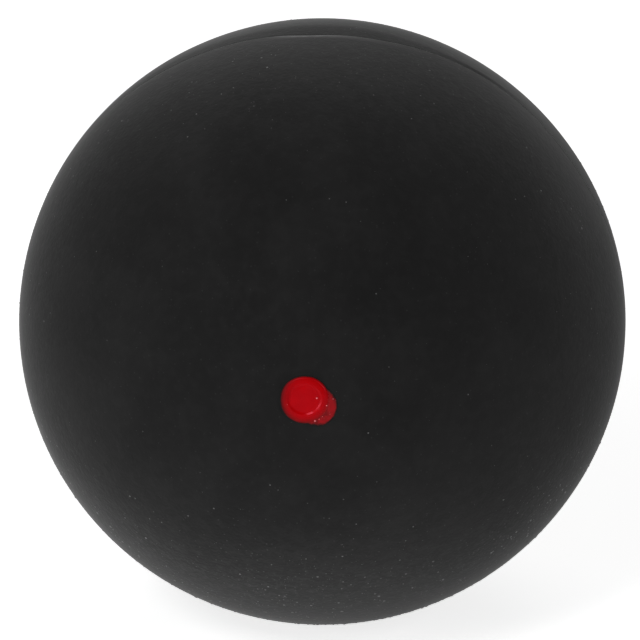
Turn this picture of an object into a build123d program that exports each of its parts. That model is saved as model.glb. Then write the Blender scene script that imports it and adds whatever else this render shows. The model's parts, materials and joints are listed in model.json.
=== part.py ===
from build123d import *

import os
from math import sqrt

# A squash ball: two moulded rubber half shells, bonded rim to rim with rubber cement,
# and marked with a raised red paint dot that lies over an earlier, thinner one.
# The origin is the centre of the ball and +Z is up. The moulding axis is Y, so the seam lies
# in the XZ plane, and the dots are on the front half, at -Y. Lengths are in millimetres.

# Ball
ball_diameter = 40.0
wall_thickness = 5.2

# Seam
cement_thickness = 0.3  # between the two flat rims
cement_sink = 0.1  # the cement's outer edge below the lower of the two rims
lip_radius = 0.2  # rounding of the front rim's outer edge
shoulder_width = 1.4  # rolled band of the rear half, along the moulding axis
shoulder_drop = 0.2  # of the rear rim below the ball's surface
bead_spread = 0.7  # of the cement squeezed out inside, past each rim
bead_height = 0.5  # of that bead, towards the moulding axis

# Red dot
dot_diameter = 3.04
dot_right = 0.53  # of the dot's middle from the moulding axis, along +X
dot_up = 2.1  # of the dot's middle from the moulding axis, along +Z
dot_thickness = 0.14  # of the paint in its middle, over the earlier dot
dot_crest_rise = 0.05  # of the crest round the dished face, over its middle
dot_skirt_width = 0.3  # from the crest to the dot's edge

# Earlier dot
underprint_diameter = 2.5
underprint_right = 1.29
underprint_up = 1.72
underprint_thickness = 0.08
underprint_edge_width = 0.15  # of the bevel round its edge

# Sizes that follow
outer_radius = ball_diameter / 2
inner_radius = outer_radius - wall_thickness
rim_level = cement_thickness / 2
underprint_top_radius = outer_radius + underprint_thickness
dot_middle_radius = underprint_top_radius + dot_thickness

FRONT = -1
REAR = 1


# Outlines are drawn in the XY plane: X is the distance from the axis of the turned piece,
# and Y is the level along that axis, measured from the ball's centre.


def at_level(radius, level):
    """The point at this level on a circle about the ball's centre."""
    return Vector(sqrt(radius**2 - level**2), level)


def at_reach(radius, reach):
    """The point at this distance from the axis on a circle about the ball's centre."""
    return Vector(reach, sqrt(radius**2 - reach**2))


def arc_about_centre(start, end):
    """Arc about the ball's centre between two points that are equally far from it."""
    middle = (start + end).normalized() * start.length
    return ThreePointArc(start, middle, end)


def turned(outline):
    """The solid that a closed outline sweeps out in a full turn about the Y axis."""
    return revolve(make_face(outline), Axis.Y)


def on_dot_axis(piece, right, up):
    """Turn a piece made about the Y axis to point out of the front half at this place."""
    outward = Vector(right, -sqrt(outer_radius**2 - right**2 - up**2), up)
    y_axis_upright = Rotation(90, 0, 0)
    return Plane(origin=(0, 0, 0), z_dir=outward) * y_axis_upright * piece


def rolled_edge(side, surface_end, rim_end):
    """Edge of a rim that leaves the ball's surface smoothly and curves in to the flat rim."""
    towards_rim = (side * surface_end.Y, -side * surface_end.X)
    return TangentArc(surface_end, rim_end, tangent=towards_rim)


def front_rim_edge():
    """Tight lip of the front half, a round that is tangent to the flat rim as well."""
    round_centre = at_level(outer_radius - lip_radius, FRONT * (rim_level + lip_radius))
    surface_end = round_centre.normalized() * outer_radius
    rim_end = Vector(round_centre.X, FRONT * rim_level)
    return rolled_edge(FRONT, surface_end, rim_end)


def rear_rim_edge():
    """Wide buffed shoulder of the rear half."""
    surface_end = at_level(outer_radius, REAR * (rim_level + shoulder_width))
    rim_end = at_level(outer_radius, REAR * rim_level) - Vector(shoulder_drop, 0)
    return rolled_edge(REAR, surface_end, rim_end)


def half_shell(side, rim_edge):
    """A half shell whose rim_edge runs from the ball's surface in to its flat rim."""
    pole_outer = Vector(0, side * outer_radius)
    pole_inner = Vector(0, side * inner_radius)
    rim_inner = at_level(inner_radius, side * rim_level)
    return turned(
        [
            arc_about_centre(pole_outer, rim_edge @ 0),
            rim_edge,
            Line(rim_edge @ 1, rim_inner),
            arc_about_centre(rim_inner, pole_inner),
            Line(pole_inner, pole_outer),
        ]
    )


def cement_ring():
    """Cement between the rims, sunk below both outside and squeezed into a bead inside."""
    lower_rim_reach = min((front_rim_edge() @ 1).X, (rear_rim_edge() @ 1).X)
    cement_reach = lower_rim_reach - cement_sink
    bead_level = rim_level + bead_spread
    outer_front = Vector(cement_reach, -rim_level)
    outer_rear = Vector(cement_reach, rim_level)
    rim_front = at_level(inner_radius, -rim_level)
    rim_rear = at_level(inner_radius, rim_level)
    bead_front = at_level(inner_radius, -bead_level)
    bead_rear = at_level(inner_radius, bead_level)
    bead_crest = Vector(inner_radius - bead_height, 0)
    return turned(
        [
            Line(rim_front, outer_front),
            Line(outer_front, outer_rear),
            Line(outer_rear, rim_rear),
            arc_about_centre(rim_rear, bead_rear),
            ThreePointArc(bead_rear, bead_crest, bead_front),
            arc_about_centre(bead_front, rim_front),
        ]
    )


def underprint_film(bevel_below_surface):
    """The earlier dot, with its bevel carried this many times its own length below the rubber."""
    radius = underprint_diameter / 2
    rim = at_reach(underprint_top_radius, radius - underprint_edge_width)
    foot = at_reach(outer_radius, radius)
    bevel_end = foot + (foot - rim) * bevel_below_surface
    film = turned(
        [
            arc_about_centre(Vector(0, underprint_top_radius), rim),
            Line(rim, bevel_end),
            arc_about_centre(bevel_end, Vector(0, bevel_end.length)),
            Line(Vector(0, bevel_end.length), Vector(0, underprint_top_radius)),
        ]
    )
    return on_dot_axis(film, underprint_right, underprint_up)


def dished_dot():
    """The later dot, raised on a round skirt, with the earlier dot's place left free."""
    radius = dot_diameter / 2
    middle = Vector(0, dot_middle_radius)
    crest = middle + Vector(radius - dot_skirt_width, dot_crest_rise)
    foot = at_reach(outer_radius, radius)
    dot = turned(
        [
            TangentArc(middle, crest, tangent=(1, 0)),
            TangentArc(crest, foot, tangent=(crest.Y, -crest.X)),
            arc_about_centre(foot, Vector(0, outer_radius)),
            Line(Vector(0, outer_radius), middle),
        ]
    )
    return on_dot_axis(dot, dot_right, dot_up) - underprint_film(bevel_below_surface=1)


pieces = {
    "front_half_shell": half_shell(FRONT, front_rim_edge()),
    "rear_half_shell": half_shell(REAR, rear_rim_edge()),
    "seam_cement": cement_ring(),
    "red_dot_underprint": underprint_film(bevel_below_surface=0),
    "red_dot": dished_dot(),
}

os.makedirs("parts", exist_ok=True)
for name, piece in pieces.items():
    export_step(piece, f"parts/{name}.step")
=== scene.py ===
"""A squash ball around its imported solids: buffed rubber shells, their cemented seam and printed dots."""

import json
import math
from typing import NamedTuple

import bmesh
import bpy
import numpy as np
from bpy.props import FloatProperty, FloatVectorProperty, IntProperty, PointerProperty
from mathutils import Matrix, Vector

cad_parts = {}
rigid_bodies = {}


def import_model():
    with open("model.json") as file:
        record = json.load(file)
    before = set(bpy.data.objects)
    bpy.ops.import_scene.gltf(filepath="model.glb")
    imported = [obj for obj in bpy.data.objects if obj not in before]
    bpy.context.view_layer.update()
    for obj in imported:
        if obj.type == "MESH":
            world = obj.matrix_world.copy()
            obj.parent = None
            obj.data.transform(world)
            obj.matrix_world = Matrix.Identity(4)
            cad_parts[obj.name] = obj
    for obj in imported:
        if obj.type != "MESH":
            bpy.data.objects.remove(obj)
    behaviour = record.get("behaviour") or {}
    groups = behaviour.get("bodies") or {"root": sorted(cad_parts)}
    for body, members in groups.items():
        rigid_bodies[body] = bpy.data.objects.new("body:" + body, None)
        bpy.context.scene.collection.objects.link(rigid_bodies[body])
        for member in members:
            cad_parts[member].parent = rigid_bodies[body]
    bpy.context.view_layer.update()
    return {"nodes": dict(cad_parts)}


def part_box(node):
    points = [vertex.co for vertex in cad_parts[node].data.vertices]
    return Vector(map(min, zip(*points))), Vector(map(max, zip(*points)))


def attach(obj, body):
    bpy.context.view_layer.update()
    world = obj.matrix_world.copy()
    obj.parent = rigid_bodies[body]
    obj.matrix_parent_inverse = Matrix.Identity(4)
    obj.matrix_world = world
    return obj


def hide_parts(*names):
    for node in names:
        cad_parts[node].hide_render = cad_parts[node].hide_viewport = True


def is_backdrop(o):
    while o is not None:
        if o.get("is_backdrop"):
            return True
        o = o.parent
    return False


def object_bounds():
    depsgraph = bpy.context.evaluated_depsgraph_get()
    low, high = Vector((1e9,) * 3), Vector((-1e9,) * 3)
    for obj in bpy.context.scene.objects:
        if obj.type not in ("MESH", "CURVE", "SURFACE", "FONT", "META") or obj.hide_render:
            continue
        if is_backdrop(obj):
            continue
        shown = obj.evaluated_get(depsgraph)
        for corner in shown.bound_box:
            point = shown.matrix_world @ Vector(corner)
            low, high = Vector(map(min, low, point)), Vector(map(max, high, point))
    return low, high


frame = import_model()

bl_info = {
    "name": "Squash Ball",
    "version": (1, 0, 0),
    "blender": (4, 5, 0),
    "location": "3D View > Sidebar > Squash Ball",
    "description": "Builds a squash ball's rubber shells, seam, dots, specks and studio",
    "category": "Object",
}

MM = 0.001

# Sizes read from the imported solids, in metres


def node_points(node):
    """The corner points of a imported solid, one per row."""
    return np.array([vertex.co for vertex in frame["nodes"][node].data.vertices])


BALL_RADIUS = -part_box("front_half_shell")[0].y
INNER_RADIUS = np.linalg.norm(node_points("front_half_shell"), axis=1).min()
RIM_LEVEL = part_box("rear_half_shell")[0].y
BEAD_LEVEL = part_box("seam_cement")[1].y
BEAD_REACH = np.linalg.norm(node_points("seam_cement")[:, [0, 2]], axis=1).min()
DOT_RADIUS = (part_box("red_dot")[1].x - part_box("red_dot")[0].x) / 2
UNDERPRINT_RADIUS = (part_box("red_dot_underprint")[1].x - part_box("red_dot_underprint")[0].x) / 2

FRONT = -1
REAR = 1
RING_SEGMENTS = 480
DOT_SEGMENTS = 192
FULL_TURN = 2 * math.pi


# Settings


class SQUASH_PG_seam(bpy.types.PropertyGroup):
    """Shape of the seam and of the shells' buffed skin."""

    lip_radius: FloatProperty(
        name="Lip radius",
        description="Rounding of the front rim's outer edge",
        default=0.05 * MM,
        unit="LENGTH",
    )
    lip_roll: FloatProperty(
        name="Lip roll",
        description="How far the front half's surface rolls down to its lip",
        default=0.006 * MM,
        unit="LENGTH",
    )
    lip_roll_width: FloatProperty(
        name="Lip roll width",
        description="Band of the front half that rolls down to the lip",
        default=0.9 * MM,
        unit="LENGTH",
    )
    shoulder_width: FloatProperty(
        name="Shoulder width",
        description="Sloping band of the rear half beside the seam",
        default=0.9 * MM,
        unit="LENGTH",
    )
    shoulder_drop: FloatProperty(
        name="Shoulder drop",
        description="How far the rear rim lies below the ball's surface",
        default=0.014 * MM,
        unit="LENGTH",
    )
    cement_sink: FloatProperty(
        name="Cement sink",
        description="How far the cement lies below the rear rim",
        default=0.005 * MM,
        unit="LENGTH",
    )
    wander: FloatProperty(
        name="Wander",
        description="How far the seam strays from its plane",
        default=0.05 * MM,
        unit="LENGTH",
    )
    relief_height: FloatProperty(
        name="Relief height",
        description="Height of the shallow waves that moulding and buffing leave in the skin",
        default=0.008 * MM,
        unit="LENGTH",
    )
    relief_size: FloatProperty(
        name="Relief size",
        description="Width of one such wave",
        default=1.8 * MM,
        unit="LENGTH",
    )


class SQUASH_PG_dots(bpy.types.PropertyGroup):
    """Shape of the two printed dots."""

    height: FloatProperty(
        name="Crest height",
        description="Crest of the raised dot above the rubber",
        default=0.26 * MM,
        unit="LENGTH",
    )
    dish_depth: FloatProperty(
        name="Dish depth",
        description="Dished face below the crest",
        default=0.08 * MM,
        unit="LENGTH",
    )
    face_width: FloatProperty(
        name="Face width",
        description="Width of the dished face, crest to crest",
        default=2.24 * MM,
        unit="LENGTH",
    )
    face_height: FloatProperty(
        name="Face height",
        description="Height of the dished face, which the sagging lower edge cuts short",
        default=2.06 * MM,
        unit="LENGTH",
    )
    face_right: FloatProperty(
        name="Face shift",
        description="Middle of the dished face to the right of the middle of the dot",
        default=0.02 * MM,
        unit="LENGTH",
    )
    face_up: FloatProperty(
        name="Face rise",
        description="Middle of the dished face above the middle of the dot",
        default=0.09 * MM,
        unit="LENGTH",
    )
    wall_width: FloatProperty(
        name="Dish wall width",
        description="Slope between the crest and the flat of the face",
        default=0.19 * MM,
        unit="LENGTH",
    )
    film_height: FloatProperty(
        name="Underprint height",
        description="Thickness of the earlier dot's film",
        default=0.08 * MM,
        unit="LENGTH",
    )
    sink: FloatProperty(
        name="Sink",
        description="How far both dots key into the rubber",
        default=0.03 * MM,
        unit="LENGTH",
    )


class SQUASH_PG_specks(bpy.types.PropertyGroup):
    """Pale filler grains that lie bare in the buffed skin."""

    density: FloatProperty(
        name="Density",
        description="Grains on each square metre, which the coarser zones multiply",
        default=1.5e5,
    )
    smallest: FloatProperty(
        name="Smallest",
        description="Radius of the smallest grain",
        default=0.018 * MM,
        unit="LENGTH",
    )
    largest: FloatProperty(
        name="Largest",
        description="Radius of the largest grain",
        default=0.075 * MM,
        unit="LENGTH",
    )
    flatness: FloatProperty(
        name="Flatness",
        description="Height of a grain as a share of its width, after buffing",
        default=0.42,
        subtype="FACTOR",
    )
    seed: IntProperty(
        name="Seed",
        description="Chooses where the grains lie",
        default=7,
    )


class SQUASH_PG_finish(bpy.types.PropertyGroup):
    """Colours of the ball."""

    rubber: FloatVectorProperty(
        name="Rubber",
        description="Black of the buffed shells",
        default=(0.0053, 0.0053, 0.0053),
        subtype="COLOR",
    )
    bloom: FloatVectorProperty(
        name="Bloom",
        description="Greyer black where the surface has bloomed",
        default=(0.009, 0.009, 0.009),
        subtype="COLOR",
    )
    # Painted sheen: this grey is mixed into the skin's colour only along the outline, where the surface
    # turns away from the eye.
    painted_rim_sheen: FloatVectorProperty(
        name="Rim dust",
        description="Grey of the fine dust on the skin, which shows only along the outline",
        default=(0.3, 0.3, 0.3),
        subtype="COLOR",
    )
    cement: FloatVectorProperty(
        name="Cement",
        description="Black of the cured cement",
        default=(0.006, 0.006, 0.006),
        subtype="COLOR",
    )
    dot: FloatVectorProperty(
        name="Dot",
        description="Red of the raised dot",
        default=(0.48, 0.0005, 0.002),
        subtype="COLOR",
    )
    underprint: FloatVectorProperty(
        name="Underprint",
        description="Duller red of the earlier dot",
        default=(0.35, 0.006, 0.01),
        subtype="COLOR",
    )
    speck: FloatVectorProperty(
        name="Specks",
        description="Pale grey of the filler grains and of the dust in the skin",
        default=(0.14, 0.14, 0.14),
        subtype="COLOR",
    )
    # Also the pale grey of the painted highlight on the front lip. On coarse skin it is partly a painted
    # highlight of grains that catch the light low on the ball.
    pale_speck_and_lip_highlight: FloatVectorProperty(
        name="Bare specks",
        description="Paler grey of the grains where the skin is coarse, and of the rubbed lip",
        default=(0.26, 0.26, 0.26),
        subtype="COLOR",
    )
    # Pale enough to paint the glint on the grain in the raised dot's face.
    paint_grain_and_glint: FloatVectorProperty(
        name="Paint grains",
        description="Pale pink of the grains that lie bare in the paint",
        default=(0.95, 0.2, 0.22),
        subtype="COLOR",
    )


class SQUASH_PG_studio(bpy.types.PropertyGroup):
    """Camera and light."""

    azimuth: FloatProperty(
        name="Azimuth",
        description="Camera's turn round the ball, from the front towards +X",
        default=math.radians(4.77),
        subtype="ANGLE",
    )
    elevation: FloatProperty(
        name="Elevation",
        description="Camera's height over the horizon",
        default=math.radians(20.31),
        subtype="ANGLE",
    )
    distance: FloatProperty(
        name="Distance",
        description="Camera to the ball's middle",
        default=400 * MM,
        unit="LENGTH",
    )
    key_level: FloatProperty(
        name="Key",
        description="Light that the left softbox throws on the ball, where 1 shows white as white",
        default=0.37,
    )
    spark_level: FloatProperty(
        name="Spark",
        description="Light that the small softbox above the left one throws on the ball",
        default=0.3,
    )
    fill_level: FloatProperty(
        name="Fill",
        description="Light that the right softbox throws on the ball",
        default=0.22,
    )
    back_level: FloatProperty(
        name="Back",
        description="Light that the softbox above and behind throws on the ball",
        default=0.235,
    )
    world_level: FloatProperty(
        name="World",
        description="Even white light from all round",
        default=0.03,
    )
    floor_glow: FloatProperty(
        name="Floor glow",
        description="White added to the floor for the camera",
        default=0.75,
    )
    floor_shine: FloatProperty(
        name="Floor shine",
        description="White added to the floor in reflections",
        default=0.44,
    )


SETTINGS = {
    "squash_seam": SQUASH_PG_seam,
    "squash_dots": SQUASH_PG_dots,
    "squash_specks": SQUASH_PG_specks,
    "squash_finish": SQUASH_PG_finish,
    "squash_studio": SQUASH_PG_studio,
}


# Meshes


def ring_mesh(name, rings, poles=None, inside_out=False):
    """A closed mesh through rings of points.

    Two poles close the first and the last ring. Without them the last ring joins the first.
    """
    count, segments, _ = rings.shape
    vertices = rings.reshape(-1, 3).tolist()
    here = np.arange(segments)
    beside = np.roll(here, -1)
    faces = []
    for row in range(count - 1 if poles else count):
        lower = row * segments
        upper = (row + 1) % count * segments
        quads = np.stack([lower + here, lower + beside, upper + beside, upper + here], axis=1)
        faces.extend(quads.tolist())
    if poles:
        first = len(vertices)
        last = first + 1
        vertices.extend([list(pole) for pole in poles])
        end = (count - 1) * segments
        faces.extend([first, int(b), int(a)] for a, b in zip(here, beside))
        faces.extend([last, end + int(a), end + int(b)] for a, b in zip(here, beside))
    if inside_out:
        faces = [face[::-1] for face in faces]
    mesh = bpy.data.meshes.new(name)
    mesh.from_pydata(vertices, [], faces)
    mesh.shade_smooth()
    return mesh


def lathe_rings(rows, angle):
    """Rings round the Y axis from rows of (distance from the axis, level along it)."""
    rings = np.empty((len(rows), len(angle), 3))
    for ring, (reach, level) in zip(rings, rows):
        ring[:, 0] = reach * np.cos(angle)
        ring[:, 1] = level
        ring[:, 2] = reach * np.sin(angle)
    return rings


def waves(angle, *parts, base=0.0):
    """Waves round a ring added to a base, each given by its height, its count and its phase."""
    return sum((height * np.sin(count * angle + phase) for height, count, phase in parts), base)


def keep_on_points(mesh, name, values):
    """Keep a number for each point of a mesh, as an attribute that node trees read."""
    mesh.attributes.new(name, "FLOAT", "POINT").data.foreach_set("value", values)


def new_object(name, data):
    """An object at the origin, in the scene's own collection."""
    made = bpy.data.objects.new(name, data)
    bpy.context.scene.collection.objects.link(made)
    return made


def place_piece(name, mesh, material, node=None):
    """Show a mesh as a piece of the ball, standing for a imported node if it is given."""
    piece = new_object(name, mesh)
    if material.name not in mesh.materials:
        mesh.materials.clear()
        mesh.materials.append(material)
    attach(piece, "root")
    if node:
        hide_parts(node)


# Seam and shells


class BuffedSpot(NamedTuple):
    """A spot where the buffing wheel dwelt on the seam, and what it added there, in mm."""

    centre: float  # in degrees from +X towards +Z
    width: float  # in degrees
    shoulder_width: float = 0.0
    shoulder_drop: float = 0.0
    lip_roll: float = 0.0
    level: float = 0.0


BUFFED_SPOTS = (
    BuffedSpot(88, 15, shoulder_width=1.2, shoulder_drop=0.2),
    BuffedSpot(93, 5, shoulder_drop=0.02, lip_roll=0.15),
    BuffedSpot(84, 8, lip_roll=0.05),
    BuffedSpot(114, 14, shoulder_width=0.3, shoulder_drop=0.04, lip_roll=0.005),
    BuffedSpot(60, 9, shoulder_width=-0.4, shoulder_drop=0.05),
    BuffedSpot(57, 15, level=0.65),
    BuffedSpot(34, 18, shoulder_drop=-0.012, lip_roll=-0.005),
    BuffedSpot(148, 16, shoulder_drop=-0.012, lip_roll=-0.005),
    BuffedSpot(205, 30, shoulder_width=0.2, shoulder_drop=0.03, lip_roll=0.01),
    BuffedSpot(310, 20, shoulder_width=0.1, shoulder_drop=0.03, lip_roll=0.01, level=0.1),
)

# Rows of points down each stretch of a shell and round the cement
SKIN_ROWS = 72
EDGE_SKIN_ROWS = 22
ROLL_ROWS = 14
LIP_ROWS = 9
SHOULDER_ROWS = 24
WALL_ROWS = 42
CEMENT_ROWS = 9
BEAD_ROWS = 17

EDGE_SKIN_START = 0.86  # where the skin's rows draw closer, as a share of the way to its edge
RIM_SHARES = (0.01, 0.1, 0.4, 0.7, 0.97)  # where rows lie on the flat rim, from its outer edge
SHOULDER_BEND = 0.4  # share of the shoulder over which it bends down
OUTER_POLE = -2  # number of a shell's outer pole among its points
FULL_LIP_HIGHLIGHT = 0.625  # where the painted highlight on the lip is full, as a share of the way to the rim
LIP_HIGHLIGHT_POWER = 1.5  # how closely the painted highlight keeps to where the lip rolls most
CEMENT_CLIMB = 0.6  # of the cement up both rims, as a share of its sink
CEMENT_WAVES = 0.001 * MM  # height of the waves in its outer edge


class SeamShape:
    """The seam's sizes at each angle round it."""

    def __init__(self, seam):
        self.angle = np.linspace(0, FULL_TURN, RING_SEGMENTS, endpoint=False)
        self.level = seam.wander * waves(self.angle, (0.6, 2, 0.7), (0.4, 5, 2.1))
        uneven = waves(self.angle, (0.1, 3, 1.2), (0.06, 7, 0.4), base=1.0)
        self.shoulder_width = seam.shoulder_width * uneven
        self.shoulder_drop = seam.shoulder_drop * uneven
        self.lip_roll = np.full(RING_SEGMENTS, seam.lip_roll)
        for spot in BUFFED_SPOTS:
            away = (np.degrees(self.angle) - spot.centre + 180) % 360 - 180
            dwell = MM * np.exp(-((away / spot.width) ** 2))
            self.shoulder_width += spot.shoulder_width * dwell
            self.shoulder_drop += spot.shoulder_drop * dwell
            self.lip_roll += spot.lip_roll * dwell
            self.level += spot.level * dwell


def at_level(radius, level):
    """Distance from the axis at this level on a sphere."""
    return np.sqrt(radius**2 - level**2)


def soft_ramp(share, bend):
    """A ramp from 0 to 1 that starts flat and keeps one slope after the bend."""
    if share < bend:
        return share**2 / (2 * bend) / (1 - bend / 2)
    return (share - bend / 2) / (1 - bend / 2)


def skin_rows(radius, edge_level, side, shares):
    """Rows over a sphere, at these shares of the way from its pole to edge_level."""
    edge_angle = np.arccos(side * edge_level / radius)
    return [
        (radius * np.sin(edge_angle * share), side * radius * np.cos(edge_angle * share))
        for share in shares
    ]


def lip_rows(shape, rim_level, seam):
    """Rows down the front half's roll and round its tight lip to the flat rim."""
    first_turn = np.arctan(2 * shape.lip_roll / seam.lip_roll_width)
    lip_level = rim_level - seam.lip_radius * (1 - np.sin(first_turn))
    rows = []
    for share in np.linspace(0, 1, ROLL_ROWS):
        level = lip_level - seam.lip_roll_width * (1 - share)
        rows.append((at_level(BALL_RADIUS, level) - shape.lip_roll * share**2, level))
    lip_reach = rows[-1][0]
    for share in np.linspace(0, 1, LIP_ROWS)[1:]:
        turn = first_turn + (math.pi / 2 - first_turn) * share
        fall = seam.lip_radius * (np.cos(first_turn) - np.cos(turn))
        climb = seam.lip_radius * (np.sin(turn) - np.sin(first_turn))
        rows.append((lip_reach - fall, lip_level + climb))
    return rows


def shoulder_rows(shape, rim_level):
    """Rows down the rear half's sloping shoulder, from the ball's surface to the flat rim."""
    rows = []
    for share in np.linspace(0, 1, SHOULDER_ROWS):
        level = rim_level + shape.shoulder_width * (1 - share)
        fall = shape.shoulder_drop * soft_ramp(share, SHOULDER_BEND)
        rows.append((at_level(BALL_RADIUS, level) - fall, level))
    return rows


def mark_shell(mesh, shape, side, skin_count, edge_count):
    """Mark a shell's outside, which fades over its edge, and where a highlight is painted on the front
    lip.
    """
    edge = slice(skin_count * RING_SEGMENTS, (skin_count + edge_count) * RING_SEGMENTS)
    outside = np.zeros(len(mesh.vertices))
    outside[: edge.start] = 1
    outside[edge] = np.repeat(np.linspace(1, 0, edge_count), RING_SEGMENTS)
    outside[OUTER_POLE] = 1
    keep_on_points(mesh, "outside", outside)
    # Painted highlight on the front lip, strongest where the lip rolls towards the light.
    painted_lip_highlight = np.zeros(len(mesh.vertices))
    if side == FRONT:
        towards_lip = np.linspace(0, 1 / FULL_LIP_HIGHLIGHT, edge_count).clip(max=1)
        highlight_strength = (shape.lip_roll / shape.lip_roll.max()) ** LIP_HIGHLIGHT_POWER
        painted_lip_highlight[edge] = np.outer(towards_lip, highlight_strength).ravel()
    keep_on_points(mesh, "painted_lip_highlight", painted_lip_highlight)


def shell_mesh(side, seam):
    """One half shell: its skin, rim edge, flat rim and inner wall."""
    shape = SeamShape(seam)
    rim_level = side * RIM_LEVEL + shape.level
    edge = lip_rows(shape, rim_level, seam) if side == FRONT else shoulder_rows(shape, rim_level)
    open_shares = np.linspace(0, EDGE_SKIN_START, SKIN_ROWS)[1:]
    edge_shares = np.linspace(EDGE_SKIN_START, 1, EDGE_SKIN_ROWS)[1:-1]
    skin = skin_rows(BALL_RADIUS, edge[0][1], side, np.concatenate([open_shares, edge_shares]))
    rim_outer = edge[-1][0]
    rim_inner = at_level(INNER_RADIUS, rim_level)
    rim = [(rim_outer + (rim_inner - rim_outer) * share, rim_level) for share in RIM_SHARES]
    wall = skin_rows(INNER_RADIUS, rim_level, side, np.linspace(1, 0, WALL_ROWS)[:-1])
    rings = lathe_rings(skin + edge + rim + wall, shape.angle)
    poles = [(0, side * BALL_RADIUS, 0), (0, side * INNER_RADIUS, 0)]
    mesh = ring_mesh("shell", rings, poles, inside_out=side == REAR)
    mark_shell(mesh, shape, side, len(skin), len(edge))
    return mesh


def cement_mesh(seam):
    """The cement ring, with a hollowed outer edge and the bead squeezed out inside."""
    shape = SeamShape(seam)
    middle = shape.level
    rear_rim_reach = shoulder_rows(shape, RIM_LEVEL + middle)[-1][0]
    uneven = CEMENT_WAVES * waves(shape.angle, (1, 11, 0.9), (0.6, 29, 0))
    rows = []
    for share in np.linspace(-1, 1, CEMENT_ROWS):
        climb = CEMENT_CLIMB * seam.cement_sink * share**2
        rows.append((rear_rim_reach - seam.cement_sink + uneven + climb, middle + RIM_LEVEL * share))
    rows.append((at_level(INNER_RADIUS, middle + RIM_LEVEL), middle + RIM_LEVEL))
    bead_edge = at_level(INNER_RADIUS, BEAD_LEVEL)
    for share in np.linspace(1, -1, BEAD_ROWS):
        reach = BEAD_REACH + (bead_edge - BEAD_REACH) * share**2
        rows.append((reach, middle + BEAD_LEVEL * share))
    rows.append((at_level(INNER_RADIUS, middle - RIM_LEVEL), middle - RIM_LEVEL))
    return ring_mesh("cement", lathe_rings(rows, shape.angle), inside_out=True)


# Dots

# Directions on the dots, in degrees from their right, turning towards their top
UPPER_RIGHT = 40
LEFT = 185
FILM_WORN = 258
BELOW = 270
FOOT_SHADE = -78
LOWER_RIGHT = -60
TOWARDS_FILM = -27

# Rows of points from the middle of each dot to its edge
FACE_ROWS = 16
DISH_WALL_ROWS = 17
SKIRT_ROWS = 22
FILM_ROWS = 14
FILM_EDGE_ROWS = 12

WALL_BEND = 0.25  # share of the dish's wall that bends, at its foot and again at its crest
FILM_BLEED = 1.07  # how far the earlier dot's film ran, in radii of its print
FILM_EDGE_START = 0.8  # where the film begins to taper, as a share of the way to its edge
LEAST_DISTANCE = 1e-12  # from a dot's middle, so that nothing is divided by zero there

# Grains caught in the paint: right and up of the dot's middle, height over the rubber and radius, in mm
PAINT_GRAINS = (
    # On the raised dot's face: a grain whose pale colour paints a glint.
    (0.79, 0.18, 0.185, 0.06),
    (1.4, -0.31, 0.12, 0.05),
    (0.68, -1.33, 0.1, 0.07),
    (-1.05, -0.27, 0.2, 0.035),
    (0.94, -1.22, 0.1, 0.035),
    (1.14, -1.04, 0.1, 0.03),
    (1.81, 0.11, 0.08, 0.035),
    (0.28, -1.5, 0.03, 0.025),
)


def dot_circle():
    """The angles round a dot, and the circle of places to the right and up that they give."""
    angle = np.linspace(0, FULL_TURN, DOT_SEGMENTS, endpoint=False)
    return angle, np.stack([np.cos(angle), np.sin(angle)])


def facing(angle, direction):
    """1 where an angle points in a direction, falling to 0 a quarter turn away and past it."""
    return np.maximum(0, np.cos(angle - math.radians(direction)))


def ramp(value, start, end):
    """A share that climbs from 0 to 1 as a value goes from start to end."""
    return np.clip((value - start) / (end - start), 0, 1)


def uneven_edge(angle, amount, phase):
    """A factor near 1 that makes a printed edge uneven."""
    return 1 + amount * waves(angle, (1, 3, phase), (0.6, 5, 2.3 * phase), (0.4, 11, 1.7 * phase))


def wall_climb(share):
    """A climb from 0 to 1 with one slope in the middle and a bend at each end."""
    if share > 0.5:
        return 1 - wall_climb(1 - share)
    bend = min(share, WALL_BEND)
    return (bend**2 / (2 * WALL_BEND) + share - bend) / (1 - WALL_BEND)


class PrintedDot:
    """A dot's place on the ball, and the rings of points that its mesh is made of."""

    def __init__(self, node):
        low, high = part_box(node)
        self.out = np.array(((low + high) / 2).normalized())
        self.right = np.cross((0, 0, 1), self.out)
        self.right /= np.linalg.norm(self.right)
        self.up = np.cross(self.out, self.right)
        self.rings = []
        self.cover_and_shade = []

    def points(self, right, up, height):
        """Points this far along the ball from the dot's middle and this high over the rubber."""
        away = np.maximum(np.hypot(right, up), LEAST_DISTANCE)
        turn = (away / BALL_RADIUS)[..., None]
        along = (right / away)[..., None] * self.right + (up / away)[..., None] * self.up
        outward = np.cos(turn) * self.out + np.sin(turn) * along
        return outward * (BALL_RADIUS + height)[..., None]

    def point(self, right, up, height):
        """One such point."""
        return self.points(np.array(right), np.array(up), np.array(height))

    def add_ring(self, place, height, cover_and_shade):
        """Add a ring at these places to the right and up, with how fully its paint's colour shows over the
        rubber's. On the raised dot, this is painted shade.
        """
        right, up = place
        self.rings.append(self.points(right, up, np.broadcast_to(height, right.shape)))
        self.cover_and_shade.extend(np.broadcast_to(cover_and_shade, right.shape))

    def mesh(self, name, poles):
        """The mesh through the rings, with its cover as an attribute."""
        mesh = ring_mesh(name, np.array(self.rings), poles, inside_out=True)
        keep_on_points(mesh, "cover_and_shade", [*self.cover_and_shade, 1.0, 1.0])
        return mesh


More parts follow.
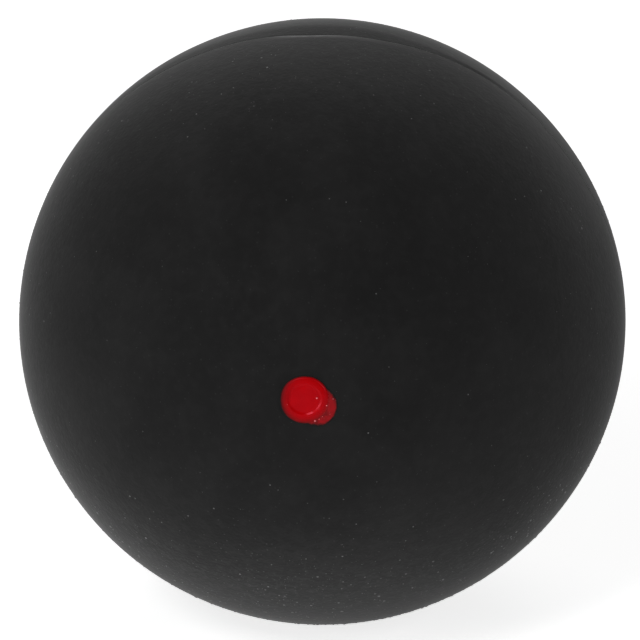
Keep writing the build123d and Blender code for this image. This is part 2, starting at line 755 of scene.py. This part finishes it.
class RaisedDotShade:
    """Painted shade on the raised dot: its colour darkens towards the rubber's on its left and at its
    foot, most of all below, and least at its upper right.
    """

    def __init__(self, angle, over_film):
        self.left_shade = 0.04 + 0.6 * facing(angle, LEFT) ** 2
        foot_shade_depth = 0.4 - 0.24 * over_film + 0.25 * facing(angle, FOOT_SHADE) ** 4
        self.foot_shade = foot_shade_depth * (1 - 0.7 * facing(angle, UPPER_RIGHT))
        self.foot_shade_start = 0.84 - 0.14 * facing(angle, BELOW)

    def cover_and_shade(self, place):
        """The share of the dot's own colour at these places to the right and up; the rest is painted
        shade.
        """
        share = np.hypot(*place) / DOT_RADIUS
        left_shade = self.left_shade * ramp(share, 0.5, 1)
        foot_shade = self.foot_shade * ramp(share, self.foot_shade_start, 1)
        return 1 - left_shade - foot_shade


def dot_mesh(dots):
    """The raised dot: a flat face, the dish's wall, a crest and a skirt that sags below."""
    dot = PrintedDot("red_dot")
    angle, circle = dot_circle()
    over_film = ramp(np.cos(angle - math.radians(TOWARDS_FILM)), 0.44, 0.74)
    lower_right = 0.5 + 0.5 * np.cos(angle - math.radians(LOWER_RIGHT))
    # Painted shade on the dot's left and foot.
    paint = RaisedDotShade(angle, over_film)
    middle = np.array([[dots.face_right], [dots.face_up]])
    face_edge = np.array([[dots.face_width / 2], [dots.face_height / 2]]) * circle
    crest = middle + face_edge
    spread_foot = 0.04 * facing(angle, UPPER_RIGHT) ** 4
    foot = DOT_RADIUS * (uneven_edge(angle, 0.006, 0.8) + spread_foot) * circle
    flat_share = 1 - dots.wall_width / (dots.face_width / 2)
    flat_level = dots.height - dots.dish_depth
    wall_rise = dots.dish_depth * (0.25 + 0.75 * lower_right)
    crest_level = flat_level + wall_rise
    skirt_fall = crest_level - 0.9 * dots.film_height * over_film
    squareness = 2 + 3 * (1 - lower_right) ** 2 - 0.6 * over_film

    def add_ring(place, height):
        dot.add_ring(place, height, paint.cover_and_shade(place))

    for share in np.linspace(0, flat_share, FACE_ROWS)[1:]:
        add_ring(middle + face_edge * share, flat_level)
    for step in np.linspace(0, 1, DISH_WALL_ROWS)[1:]:
        share = flat_share + (1 - flat_share) * step
        add_ring(middle + face_edge * share, flat_level + wall_rise * wall_climb(step))
    for bend in np.linspace(0, math.pi / 2, SKIRT_ROWS)[1:]:
        outward = math.sin(bend) ** (2 / squareness)
        fall = 1 - np.maximum(math.cos(bend), 0) ** (2 / squareness)
        add_ring(crest + (foot - crest) * outward, crest_level - skirt_fall * fall)
    add_ring(foot, -dots.sink)
    poles = [dot.point(dots.face_right, dots.face_up, flat_level), dot.point(0, 0, -dots.sink)]
    return dot.mesh("dot", poles)


def underprint_mesh(dots):
    """The earlier dot: a thin film with a ragged, tapering edge."""
    dot = PrintedDot("red_dot_underprint")
    angle, circle = dot_circle()
    longer_below = 0.05 * facing(angle, BELOW) ** 4
    edge = FILM_BLEED * UNDERPRINT_RADIUS * (uneven_edge(angle, 0.008, 2.9) + longer_below) * circle
    worn = 0.62 * facing(angle, FILM_WORN) ** 2
    inner_shares = np.linspace(0, FILM_EDGE_START, FILM_ROWS)[1:]
    edge_shares = np.linspace(FILM_EDGE_START, 1, FILM_EDGE_ROWS)[1:]
    for share in np.concatenate([inner_shares, edge_shares]):
        taper = 1 - ramp(share, FILM_EDGE_START, 1)
        height = dots.film_height * math.sin(taper * math.pi / 2)
        dot.add_ring(edge * share, height, taper * (1 - worn * share))
    dot.add_ring(edge, -dots.sink, 0)
    return dot.mesh("underprint", [dot.point(0, 0, dots.film_height), dot.point(0, 0, -dots.sink)])


def paint_grains_mesh():
    """The grains that lie bare in the paint of the two dots."""
    dot = PrintedDot("red_dot")
    grains = bmesh.new()
    for right, up, height, radius in PAINT_GRAINS:
        middle = Matrix.Translation(dot.point(right * MM, up * MM, height * MM))
        bmesh.ops.create_icosphere(grains, subdivisions=2, radius=radius * MM, matrix=middle)
    mesh = bpy.data.meshes.new("paint_grains")
    grains.to_mesh(mesh)
    grains.free()
    mesh.shade_smooth()
    return mesh


# Node trees

FLOAT = "NodeSocketFloat"
GEOMETRY = "NodeSocketGeometry"
MATERIAL = "NodeSocketMaterial"


def feed(tree, node, inputs):
    """Link or set a node's inputs, given by name or number."""
    for name, value in inputs.items():
        if isinstance(value, bpy.types.NodeSocket):
            tree.links.new(value, node.inputs[name])
        else:
            node.inputs[name].default_value = value


def add_node(tree, kind, inputs=None, **settings):
    """Add a node, apply its settings, then feed its inputs."""
    made = tree.nodes.new(kind)
    for name, value in settings.items():
        setattr(made, name, value)
    feed(tree, made, inputs or {})
    return made


def maths(tree, operation, first, second=0.0, clamp=False):
    """The result of one step of arithmetic."""
    inputs = {0: first, 1: second}
    return add_node(tree, "ShaderNodeMath", inputs, operation=operation, use_clamp=clamp).outputs[0]


def times(tree, first, second):
    """The product of two values."""
    return maths(tree, "MULTIPLY", first, second)


def plus(tree, first, second):
    """The sum of two values."""
    return maths(tree, "ADD", first, second)


def spread(tree, value, source, target=(0.0, 1.0)):
    """A value carried smoothly from one range to another."""
    inputs = {
        "Value": value,
        "From Min": source[0],
        "From Max": source[1],
        "To Min": target[0],
        "To Max": target[1],
    }
    ranged = add_node(tree, "ShaderNodeMapRange", inputs, interpolation_type="SMOOTHSTEP")
    return ranged.outputs["Result"]


def noise(tree, place, size, detail):
    """Noise from 0 to 1 whose blotches have this size."""
    inputs = {"Vector": place, "Scale": maths(tree, "DIVIDE", 1.0, size), "Detail": detail}
    return add_node(tree, "ShaderNodeTexNoise", inputs).outputs["Fac"]


def new_group(name, kind, inputs, outputs):
    """An empty node group with these named sockets, and the ends to link inside it."""
    tree = bpy.data.node_groups.new(name, kind)
    for in_out, sockets in (("INPUT", inputs), ("OUTPUT", outputs)):
        for label, socket_type in sockets.items():
            tree.interface.new_socket(label, in_out=in_out, socket_type=socket_type)
    entry = tree.nodes.new("NodeGroupInput")
    leave = tree.nodes.new("NodeGroupOutput")
    return tree, entry.outputs, leave


def coarse_zone(tree, position):
    """How coarse the skin is: more towards the seam, and most of all low down on the ball."""
    axes = add_node(tree, "ShaderNodeSeparateXYZ", {0: position}).outputs
    low_down = spread(tree, axes["Z"], (0.1 * BALL_RADIUS, -0.85 * BALL_RADIUS), (0.0, 0.78))
    from_seam = maths(tree, "ABSOLUTE", axes["Y"])
    near_seam = spread(tree, from_seam, (0.9 * BALL_RADIUS, 0.2 * BALL_RADIUS), (0.0, 0.43))
    return plus(tree, low_down, near_seam)


# Geometry node trees

SKIN_DETAIL = 2.0  # layers of finer noise in the skin's waves and patches
PATCH_SIZE = 9 * MM  # of the zones with more or fewer filler grains
PATCH_SHARES = (0.5, 1.6)  # of the grains, in the emptiest and in the fullest of them
EVEN_SHARE = 0.6  # of the grains, on all of the skin
COARSE_SHARE = 21.0  # of the grains, added times the square of the skin's coarseness
SMALL_OFTEN = 4.5  # power that makes a small grain likelier than a large one
EVEN_GROWTH = 0.8  # of a grain's size, on all of the skin
COARSE_GROWTH = 0.7  # of a grain's size, added times the skin's coarseness
SIZE_SEED = 11  # chooses the sizes of the grains


def finish_geometry(tree, geometry, entry, leave):
    """End a geometry tree with real geometry that carries its material."""
    real = add_node(tree, "GeometryNodeRealizeInstances", {"Geometry": geometry})
    inputs = {"Geometry": real.outputs["Geometry"], "Material": entry["Material"]}
    coated = add_node(tree, "GeometryNodeSetMaterial", inputs)
    feed(tree, leave, {"Geometry": coated.outputs["Geometry"]})


def outside_share(tree):
    """1 on the outside of a shell, fading to 0 over its edge."""
    inputs = {"Name": "outside"}
    mark = add_node(tree, "GeometryNodeInputNamedAttribute", inputs, data_type="FLOAT")
    return mark.outputs["Attribute"]


def relief_tree():
    """Raises shallow waves on the outside of a shell."""
    tree, entry, leave = new_group(
        "skin_relief",
        "GeometryNodeTree",
        {"Geometry": GEOMETRY, "Height": FLOAT, "Size": FLOAT, "Material": MATERIAL},
        {"Geometry": GEOMETRY},
    )
    position = tree.nodes.new("GeometryNodeInputPosition").outputs[0]
    ripples = noise(tree, position, entry["Size"], SKIN_DETAIL)
    swing = times(tree, maths(tree, "SUBTRACT", ripples, 0.5), entry["Height"])
    rise = times(tree, swing, outside_share(tree))
    normal = tree.nodes.new("GeometryNodeInputNormal").outputs[0]
    offset = add_node(tree, "ShaderNodeVectorMath", {0: normal, "Scale": rise}, operation="SCALE")
    inputs = {"Geometry": entry["Geometry"], "Offset": offset.outputs["Vector"]}
    moved = add_node(tree, "GeometryNodeSetPosition", inputs)
    finish_geometry(tree, moved.outputs["Geometry"], entry, leave)
    return tree


def random_share(tree, seed):
    """A random number from 0 to 1 for each point."""
    made = add_node(tree, "FunctionNodeRandomValue", {"Seed": seed}, data_type="FLOAT")
    return next(socket for socket in made.outputs if socket.enabled)


def speck_density(tree, entry, position, coarse):
    """How thickly the filler grains lie: in patches, and thicker where the skin is coarse."""
    patches = noise(tree, position, entry["Patch Size"], SKIN_DETAIL)
    patchy = spread(tree, patches, (0.4, 0.65), PATCH_SHARES)
    thicker = times(tree, times(tree, coarse, coarse), COARSE_SHARE)
    thick = times(tree, patchy, plus(tree, thicker, EVEN_SHARE))
    return times(tree, times(tree, entry["Density"], thick), outside_share(tree))


def speck_scale(tree, entry, coarse):
    """The size of each filler grain, flattened by buffing and larger where the skin is coarse."""
    small_often = maths(tree, "POWER", random_share(tree, SIZE_SEED), SMALL_OFTEN)
    size_range = maths(tree, "SUBTRACT", entry["Largest"], entry["Smallest"])
    size = plus(tree, entry["Smallest"], times(tree, small_often, size_range))
    width = times(tree, size, plus(tree, times(tree, coarse, COARSE_GROWTH), EVEN_GROWTH))
    height = times(tree, width, entry["Flatness"])
    scale = add_node(tree, "ShaderNodeCombineXYZ", {"X": width, "Y": width, "Z": height})
    return scale.outputs["Vector"]


def speck_tree():
    """Scatters filler grains over the outside of a shell."""
    tree, entry, leave = new_group(
        "filler_specks",
        "GeometryNodeTree",
        {
            "Geometry": GEOMETRY,
            "Density": FLOAT,
            "Smallest": FLOAT,
            "Largest": FLOAT,
            "Flatness": FLOAT,
            "Patch Size": FLOAT,
            "Seed": "NodeSocketInt",
            "Material": MATERIAL,
        },
        {"Geometry": GEOMETRY},
    )
    position = tree.nodes.new("GeometryNodeInputPosition").outputs[0]
    coarse = coarse_zone(tree, position)
    density = speck_density(tree, entry, position, coarse)
    inputs = {"Mesh": entry["Geometry"], "Density": density, "Seed": entry["Seed"]}
    points = add_node(
        tree, "GeometryNodeDistributePointsOnFaces", inputs, distribute_method="RANDOM"
    ).outputs
    grain = add_node(tree, "GeometryNodeMeshIcoSphere", {"Radius": 1.0, "Subdivisions": 1})
    inputs = {
        "Points": points["Points"],
        "Instance": grain.outputs["Mesh"],
        "Rotation": points["Rotation"],
        "Scale": speck_scale(tree, entry, coarse),
    }
    placed = add_node(tree, "GeometryNodeInstanceOnPoints", inputs)
    finish_geometry(tree, placed.outputs["Instances"], entry, leave)
    return tree


def grown_mesh(source, tree, values):
    """The plain mesh that a geometry tree makes of a mesh."""
    carrier = new_object("carrier", source)
    modifier = carrier.modifiers.new(tree.name, "NODES")
    modifier.node_group = tree
    for item in tree.interface.items_tree:
        if item.in_out == "INPUT" and item.name in values:
            modifier[item.identifier] = values[item.name]
    evaluated = carrier.evaluated_get(bpy.context.evaluated_depsgraph_get())
    mesh = bpy.data.meshes.new_from_object(evaluated)
    bpy.data.objects.remove(carrier)
    return mesh


# Shader groups

COARSER_GRAIN = 2.2  # size of the coarser half of the grain, in sizes of the finer half


def object_place(tree):
    """Where a point of a surface lies on its own piece."""
    return tree.nodes.new("ShaderNodeTexCoord").outputs["Object"]


def object_noise(tree, size, detail):
    """Noise of this size on the piece's own coordinates."""
    return noise(tree, object_place(tree), size, detail)


def grain_group():
    """Buffed grain and broad mottle, which every material of the ball uses at its own size."""
    tree, entry, leave = new_group(
        "buffed_grain",
        "ShaderNodeTree",
        {"Grain Size": FLOAT, "Mottle Size": FLOAT},
        {"Grain": FLOAT, "Mottle": FLOAT},
    )
    fine = object_noise(tree, entry["Grain Size"], detail=1.0)
    coarser = object_noise(tree, times(tree, entry["Grain Size"], COARSER_GRAIN), detail=1.0)
    grain = times(tree, plus(tree, fine, coarser), 0.5)
    mottle = spread(tree, object_noise(tree, entry["Mottle Size"], detail=4.0), (0.35, 0.7))
    feed(tree, leave, {"Grain": grain, "Mottle": mottle})
    return tree


def speck_group():
    """Mask of the finest pale specks, for the rubber and the earlier dot's film."""
    tree, entry, leave = new_group(
        "fine_specks",
        "ShaderNodeTree",
        {"Spacing": FLOAT, "Size": FLOAT},
        {"Mask": FLOAT},
    )
    scale = maths(tree, "DIVIDE", 1.0, entry["Spacing"])
    inputs = {"Vector": object_place(tree), "Scale": scale}
    cells = add_node(tree, "ShaderNodeTexVoronoi", inputs).outputs
    distance = times(tree, cells["Distance"], entry["Spacing"])
    chance = add_node(tree, "ShaderNodeSeparateColor", {0: cells["Color"]}).outputs[0]
    radius = times(tree, entry["Size"], chance)
    mask = maths(tree, "SUBTRACT", 1.0, maths(tree, "DIVIDE", distance, radius), clamp=True)
    feed(tree, leave, {"Mask": mask})
    return tree


GROUP_MAKERS = {"buffed_grain": grain_group, "fine_specks": speck_group}


def place_group(tree, name, **values):
    """Place a shader group, made when first asked for, with these values. Returns its outputs."""
    made = tree.nodes.new("ShaderNodeGroup")
    made.node_tree = bpy.data.node_groups.get(name) or GROUP_MAKERS[name]()
    feed(tree, made, {label.replace("_", " ").title(): value for label, value in values.items()})
    return made.outputs


# Materials, each as the inputs that it gives its shader

BUFFED_SHEEN = {"Sheen Weight": 0.21, "Sheen Roughness": 0.5}
PAINTED_SHEEN_POWER = 16.0  # power that keeps the painted sheen close to the outline
DOT_SHINE = (1.0, 0.15, 0.23, 1.0)  # tint of the raised dot's reflections
DEEPER_STREAKS = 0.9  # of the raised dot's colour
SHADE_ROUGHNESS = 0.7  # roughness added where shade is painted on the raised dot
THIN_FILM = 0.45  # of the film's and the rubber's colours, added up
BARE_FILM = 1.35  # cover that would hide all of the film's grains
EMBEDDED = 0.6  # share of the rubber's colour in a filler grain's mottle
DULLER_GRAINS = 0.7  # of the paint grains' colour


def mixed(tree, share, first, second):
    """The colour this share of the way between two colours, each a socket or a colour setting."""
    pair = [
        colour if isinstance(colour, bpy.types.NodeSocket) else (*colour, 1.0)
        for colour in (first, second)
    ]
    inputs = {"Factor": share, 6: pair[0], 7: pair[1]}
    return add_node(tree, "ShaderNodeMix", inputs, data_type="RGBA").outputs[2]


def surface_mark(tree, name):
    """A number that the piece's mesh keeps on its points."""
    return add_node(tree, "ShaderNodeAttribute", attribute_name=name).outputs["Fac"]


def with_painted_rim_sheen(tree, colour, finish):
    """A colour with a painted sheen: pale grey mixed in where the surface turns away from the eye, along
    the outline.
    """
    turned = tree.nodes.new("ShaderNodeLayerWeight").outputs["Facing"]
    return mixed(tree, maths(tree, "POWER", turned, PAINTED_SHEEN_POWER), colour, finish.painted_rim_sheen)


def relief(tree, height, depth):
    """The normal of a fine relief, whose height swings by this depth."""
    inputs = {"Strength": 1.0, "Distance": depth, "Height": height}
    return add_node(tree, "ShaderNodeBump", inputs).outputs["Normal"]


def pale_specks(tree, grain, coarse):
    """Share of the rubber's finest pale specks, and of the dust in its grain and in blotches."""
    specks = place_group(tree, "fine_specks", spacing=0.34 * MM, size=0.08 * MM)
    speck_share = times(tree, specks["Mask"], spread(tree, coarse, (0.2, 0.8), (0.13, 1.0)))
    dusty_grain = spread(tree, grain["Grain"], (0.48, 0.64))
    grain_dust = times(tree, dusty_grain, spread(tree, coarse, (0.35, 0.8), (0.008, 0.14)))
    dusty_blotch = spread(tree, object_noise(tree, 0.75 * MM, detail=1.0), (0.42, 0.68))
    blotch_dust = times(tree, dusty_blotch, spread(tree, coarse, (0.1, 0.8), (0.013, 0.05)))
    return plus(tree, speck_share, plus(tree, grain_dust, blotch_dust))


def buffed_rubber(tree, finish):
    """Matte black rubber: buffed grain, a patchy bloom, pale specks and dust, a painted highlight on the
    front lip and a painted sheen along the outline.
    """
    coarse = coarse_zone(tree, object_place(tree))
    grain = place_group(tree, "buffed_grain", grain_size=0.22 * MM, mottle_size=5 * MM)
    bloomed = mixed(tree, grain["Mottle"], finish.rubber, finish.bloom)
    # Painted highlight: pale grey mixed in along the front lip.
    lip_highlight_grain = spread(tree, grain["Grain"], (0.4, 0.6), (0.2, 0.9))
    painted_lip_highlight = times(tree, surface_mark(tree, "painted_lip_highlight"), lip_highlight_grain)
    lip_with_highlight = mixed(tree, painted_lip_highlight, bloomed, finish.pale_speck_and_lip_highlight)
    speckled = mixed(tree, pale_specks(tree, grain, coarse), lip_with_highlight, finish.speck)
    height = times(tree, grain["Grain"], spread(tree, coarse, (0.0, 0.7), (0.25, 1.0)))
    return {
        # The outline gets a painted sheen.
        "Base Color": with_painted_rim_sheen(tree, speckled, finish),
        "Roughness": spread(tree, grain["Grain"], (0.3, 0.7), (0.68, 0.82)),
        "Specular IOR Level": 0.1,
        "Normal": relief(tree, height, 0.034 * MM),
        **BUFFED_SHEEN,
    }


def sunken_cement(tree, finish):
    """Cured cement, buffed like the rubber and a little smoother, with the same painted sheen along the
    outline.
    """
    grain = place_group(tree, "buffed_grain", grain_size=0.12 * MM, mottle_size=1.5 * MM)
    bloomed = mixed(tree, grain["Mottle"], finish.cement, finish.bloom)
    return {
        "Base Color": with_painted_rim_sheen(tree, bloomed, finish),
        "Roughness": 0.72,
        "Specular IOR Level": 0.1,
        "Normal": relief(tree, grain["Grain"], 0.05 * MM),
        **BUFFED_SHEEN,
    }


def raised_dot_paint(tree, finish):
    """Thick satin paint with slight streaks, darkened and duller where shade is painted on its left and
    foot.
    """
    grain = place_group(tree, "buffed_grain", grain_size=0.15 * MM, mottle_size=0.9 * MM)
    deeper = [DEEPER_STREAKS * channel for channel in finish.dot]
    streaked = mixed(tree, grain["Mottle"], finish.dot, deeper)
    # Painted shade: the paint's colour darkens towards the rubber's on the dot's left and foot.
    cover_and_shade = surface_mark(tree, "cover_and_shade")
    duller = times(tree, maths(tree, "SUBTRACT", 1.0, cover_and_shade), SHADE_ROUGHNESS)
    return {
        "Base Color": mixed(tree, cover_and_shade, finish.rubber, streaked),
        "Roughness": plus(tree, spread(tree, grain["Grain"], (0.3, 0.7), (0.17, 0.23)), duller),
        "Specular IOR Level": 0.35,
        "Specular Tint": DOT_SHINE,
        "Normal": relief(tree, grain["Grain"], 0.002 * MM),
    }


def worn_film_paint(tree, finish):
    """Thin dull paint that lets the rubber show in places."""
    grain = place_group(tree, "buffed_grain", grain_size=0.1 * MM, mottle_size=0.5 * MM)
    specks = place_group(tree, "fine_specks", spacing=0.2 * MM, size=0.08 * MM)
    thin = [THIN_FILM * (paint + rubber) for paint, rubber in zip(finish.underprint, finish.rubber)]
    worn = mixed(tree, grain["Mottle"], finish.underprint, thin)
    cover_and_shade = surface_mark(tree, "cover_and_shade")
    bareness = maths(tree, "SUBTRACT", BARE_FILM, cover_and_shade)
    bare_grains = maths(tree, "MULTIPLY", specks["Mask"], bareness, clamp=True)
    dusty = mixed(tree, bare_grains, worn, finish.paint_grain_and_glint)
    ragged = plus(tree, cover_and_shade, spread(tree, grain["Grain"], (0.2, 0.8), (-0.15, 0.15)))
    return {
        "Base Color": mixed(tree, spread(tree, ragged, (0.1, 0.6)), finish.rubber, dusty),
        "Roughness": 0.45,
        "Specular IOR Level": 0.12,
        "Normal": relief(tree, grain["Grain"], 0.02 * MM),
    }


def pale_filler(tree, finish):
    """Pale mineral filler, slightly uneven, with the bright edge of the rubber it lies in. It is paler
    where the skin is coarse, partly as a painted highlight of grains that catch the light low on the ball.
    """
    # Paler where the skin is coarse: partly barer filler, partly a painted highlight of grains catching
    # the light low on the ball.
    paler_where_coarse = spread(tree, coarse_zone(tree, object_place(tree)), (0.2, 0.8))
    pale = mixed(tree, paler_where_coarse, finish.speck, finish.pale_speck_and_lip_highlight)
    grain = place_group(tree, "buffed_grain", grain_size=0.05 * MM, mottle_size=0.8 * MM)
    darker = mixed(tree, EMBEDDED, pale, finish.rubber)
    return {
        "Base Color": mixed(tree, grain["Mottle"], pale, darker),
        "Roughness": 0.7,
        "Specular IOR Level": 0.085,
        **BUFFED_SHEEN,
    }


def tinted_grains(tree, finish):
    """Filler grains that the paint has tinted; their pale colour also paints the glint on the raised dot's
    face.
    """
    grain = place_group(tree, "buffed_grain", grain_size=0.05 * MM, mottle_size=0.4 * MM)
    duller = [DULLER_GRAINS * channel for channel in finish.paint_grain_and_glint]
    return {
        "Base Color": mixed(tree, grain["Mottle"], finish.paint_grain_and_glint, duller),
        "Roughness": 0.2,
        "Specular IOR Level": 0.5,
    }


def ball_material(shader_inputs):
    """The material that one of these functions describes, named after it and made only once."""
    name = shader_inputs.__name__
    if name not in bpy.data.materials:
        material = bpy.data.materials.new(name)
        material.use_nodes = True
        tree = material.node_tree
        inputs = shader_inputs(tree, bpy.context.scene.squash_finish)
        feed(tree, tree.nodes["Principled BSDF"], inputs)
    return bpy.data.materials[name]


# Pieces


class SQUASH_OT_half_shells(bpy.types.Operator):
    """Make the two rubber half shells"""

    bl_idname = "squash.half_shells"
    bl_label = "Half Shells"

    def execute(self, context):
        seam = context.scene.squash_seam
        rubber = ball_material(buffed_rubber)
        values = {"Height": seam.relief_height, "Size": seam.relief_size, "Material": rubber}
        tree = relief_tree()
        for side, node in ((FRONT, "front_half_shell"), (REAR, "rear_half_shell")):
            mesh = grown_mesh(shell_mesh(side, seam), tree, values)
            place_piece(f"rubber_{node}", mesh, rubber, node)
        return {"FINISHED"}


class SQUASH_OT_seam_cement(bpy.types.Operator):
    """Make the cement ring between the half shells"""

    bl_idname = "squash.seam_cement"
    bl_label = "Seam Cement"

    def execute(self, context):
        mesh = cement_mesh(context.scene.squash_seam)
        place_piece("cement_ring", mesh, ball_material(sunken_cement), "seam_cement")
        return {"FINISHED"}


class SQUASH_OT_dots(bpy.types.Operator):
    """Make the raised red dot, the earlier dot under it and the grains in their paint"""

    bl_idname = "squash.dots"
    bl_label = "Dots"

    def execute(self, context):
        dots = context.scene.squash_dots
        paint = ball_material(raised_dot_paint)
        place_piece("raised_dot", dot_mesh(dots), paint, "red_dot")
        film = ball_material(worn_film_paint)
        place_piece(
            "dot_underprint", underprint_mesh(dots), film, "red_dot_underprint"
        )
        place_piece("paint_grains", paint_grains_mesh(), ball_material(tinted_grains))
        return {"FINISHED"}


class SQUASH_OT_specks(bpy.types.Operator):
    """Scatter pale filler grains over both half shells"""

    bl_idname = "squash.specks"
    bl_label = "Filler Specks"

    def execute(self, context):
        specks = context.scene.squash_specks
        pale = ball_material(pale_filler)
        tree = speck_tree()
        for number, half in enumerate(("front", "rear")):
            shell = bpy.data.objects[f"rubber_{half}_half_shell"]
            values = {
                "Density": specks.density,
                "Smallest": specks.smallest,
                "Largest": specks.largest,
                "Flatness": specks.flatness,
                "Patch Size": PATCH_SIZE,
                "Seed": specks.seed + number,
                "Material": pale,
            }
            mesh = grown_mesh(shell.data, tree, values)
            place_piece(f"filler_specks_{half}", mesh, pale)
        return {"FINISHED"}


# Studio

# The image, and the ball's outline in the photograph, in pixels
IMAGE_SIZE = 640
PHOTO_CENTRE = (321.88, 320.92)
PHOTO_RADIUS = 303.37
PIXEL_CENTRE = 0.5

SENSOR_WIDTH = 36.0  # in mm
NEAREST_VIEW = 0.01
FLOOR_RADIUS = 2.5
FLOOR_SEGMENTS = 128
FLOOR_COLOUR = (0.8, 0.8, 0.8, 1.0)
WHITE = (1.0, 1.0, 1.0, 1.0)

# Where each softbox stands and how wide it is, in metres
SOFTBOXES = {
    "key": ((-0.4, -0.4, 0.12), 0.26),
    "spark": ((-0.19, -0.42, 0.38), 0.16),
    "fill": ((0.42, -0.3, 0.25), 0.25),
    "back": ((0.0, 0.4, 0.4), 0.4),
}


def view_direction(studio):
    """The direction from the ball's middle to the camera."""
    cos_up = math.cos(studio.elevation)
    aside = math.sin(studio.azimuth) * cos_up
    ahead = math.cos(studio.azimuth) * cos_up
    return Vector((aside, -ahead, math.sin(studio.elevation)))


def add_camera(studio):
    """A camera that frames the ball as the photograph does."""
    back = view_direction(studio)
    edge_slope = math.tan(math.asin(BALL_RADIUS / studio.distance))
    slope_per_pixel = edge_slope / PHOTO_RADIUS
    data = bpy.data.cameras.new("camera")
    data.sensor_width = SENSOR_WIDTH
    data.lens = SENSOR_WIDTH / (slope_per_pixel * IMAGE_SIZE)
    data.clip_start = NEAREST_VIEW
    camera = new_object("camera", data)
    camera.location = back * studio.distance
    camera.rotation_mode = "QUATERNION"
    towards_ball = (-back).to_track_quat("-Z", "Y")
    right = towards_ball @ Vector((1, 0, 0))
    up = towards_ball @ Vector((0, 1, 0))
    pixel = slope_per_pixel * studio.distance
    aside = PHOTO_CENTRE[0] + PIXEL_CENTRE - IMAGE_SIZE / 2
    below = PHOTO_CENTRE[1] + PIXEL_CENTRE - IMAGE_SIZE / 2
    aim = up * below * pixel - right * aside * pixel
    camera.rotation_quaternion = (aim - camera.location).to_track_quat("-Z", "Y")
    bpy.context.scene.camera = camera


def add_softbox(name, place, size, level):
    """A square softbox turned to the ball, where a level of 1 shows a white surface as white."""
    data = bpy.data.lights.new(name, "AREA")
    data.shape = "SQUARE"
    data.size = size
    data.energy = level * (math.pi * Vector(place).length) ** 2
    lamp = new_object(name, data)
    lamp.location = place
    lamp.rotation_mode = "QUATERNION"
    lamp.rotation_quaternion = Vector(place).to_track_quat("Z", "Y")


def floor_material(studio):
    """A matte white floor that takes the ball's shadow and fades to plain white."""
    material = bpy.data.materials.new("studio_floor")
    material.use_nodes = True
    tree = material.node_tree
    tree.nodes.clear()
    matte = add_node(tree, "ShaderNodeBsdfDiffuse", {"Color": FLOOR_COLOUR})
    path = tree.nodes.new("ShaderNodeLightPath").outputs
    seen = times(tree, path["Is Camera Ray"], studio.floor_glow)
    reflected = times(tree, path["Is Glossy Ray"], studio.floor_shine)
    glow = add_node(tree, "ShaderNodeEmission", {"Strength": plus(tree, seen, reflected)})
    both = add_node(tree, "ShaderNodeAddShader", {0: matte.outputs[0], 1: glow.outputs[0]})
    add_node(tree, "ShaderNodeOutputMaterial", {"Surface": both.outputs[0]})
    return material


def add_floor(studio):
    """A round floor under the ball."""
    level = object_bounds()[0].z
    angles = np.linspace(0, FULL_TURN, FLOOR_SEGMENTS, endpoint=False)
    ring = [(FLOOR_RADIUS * math.cos(a), FLOOR_RADIUS * math.sin(a), level) for a in angles]
    mesh = bpy.data.meshes.new("floor")
    mesh.from_pydata(ring, [], [list(range(len(ring)))])
    mesh.materials.append(floor_material(studio))
    floor = new_object("studio_floor", mesh)
    floor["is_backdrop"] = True


def set_world(studio):
    """Even light from all round, seen as plain white by the camera."""
    world = bpy.data.worlds.new("studio_world")
    world.use_nodes = True
    bpy.context.scene.world = world
    tree = world.node_tree
    camera_ray = tree.nodes.new("ShaderNodeLightPath").outputs["Is Camera Ray"]
    extra = times(tree, camera_ray, 1.0 - studio.world_level)
    strength = plus(tree, extra, studio.world_level)
    feed(tree, tree.nodes["Background"], {"Color": WHITE, "Strength": strength})


class SQUASH_OT_studio(bpy.types.Operator):
    """Set the floor, the lights and the camera"""

    bl_idname = "squash.studio"
    bl_label = "Studio"

    def execute(self, context):
        studio = context.scene.squash_studio
        context.scene.view_settings.view_transform = "Standard"
        add_camera(studio)
        add_floor(studio)
        set_world(studio)
        for name, (place, size) in SOFTBOXES.items():
            add_softbox(f"{name}_softbox", place, size, getattr(studio, f"{name}_level"))
        return {"FINISHED"}


# Panel and registration

OPERATORS = (
    SQUASH_OT_half_shells,
    SQUASH_OT_seam_cement,
    SQUASH_OT_dots,
    SQUASH_OT_specks,
    SQUASH_OT_studio,
)


class SQUASH_PT_panel(bpy.types.Panel):
    """Lists the ball's pieces and settings"""

    bl_idname = "SQUASH_PT_panel"
    bl_label = "Squash Ball"
    bl_space_type = "VIEW_3D"
    bl_region_type = "UI"
    bl_category = "Squash Ball"

    def draw(self, context):
        for operator in OPERATORS:
            self.layout.operator(operator.bl_idname)
        for name in SETTINGS:
            box = self.layout.box()
            group = getattr(context.scene, name)
            for setting in group.__annotations__:
                box.prop(group, setting)


CLASSES = (*SETTINGS.values(), *OPERATORS, SQUASH_PT_panel)


def register():
    """Register the classes and hang the settings on the scene."""
    for made in CLASSES:
        bpy.utils.register_class(made)
    for name, group in SETTINGS.items():
        setattr(bpy.types.Scene, name, PointerProperty(type=group))


def unregister():
    """Take the settings and classes away again."""
    for name in SETTINGS:
        delattr(bpy.types.Scene, name)
    for made in reversed(CLASSES):
        bpy.utils.unregister_class(made)


def main():
    """Build the ball and its studio."""
    register()
    bpy.ops.squash.half_shells()
    bpy.ops.squash.seam_cement()
    bpy.ops.squash.dots()
    bpy.ops.squash.specks()
    bpy.ops.squash.studio()


if __name__ == "__main__":
    main()
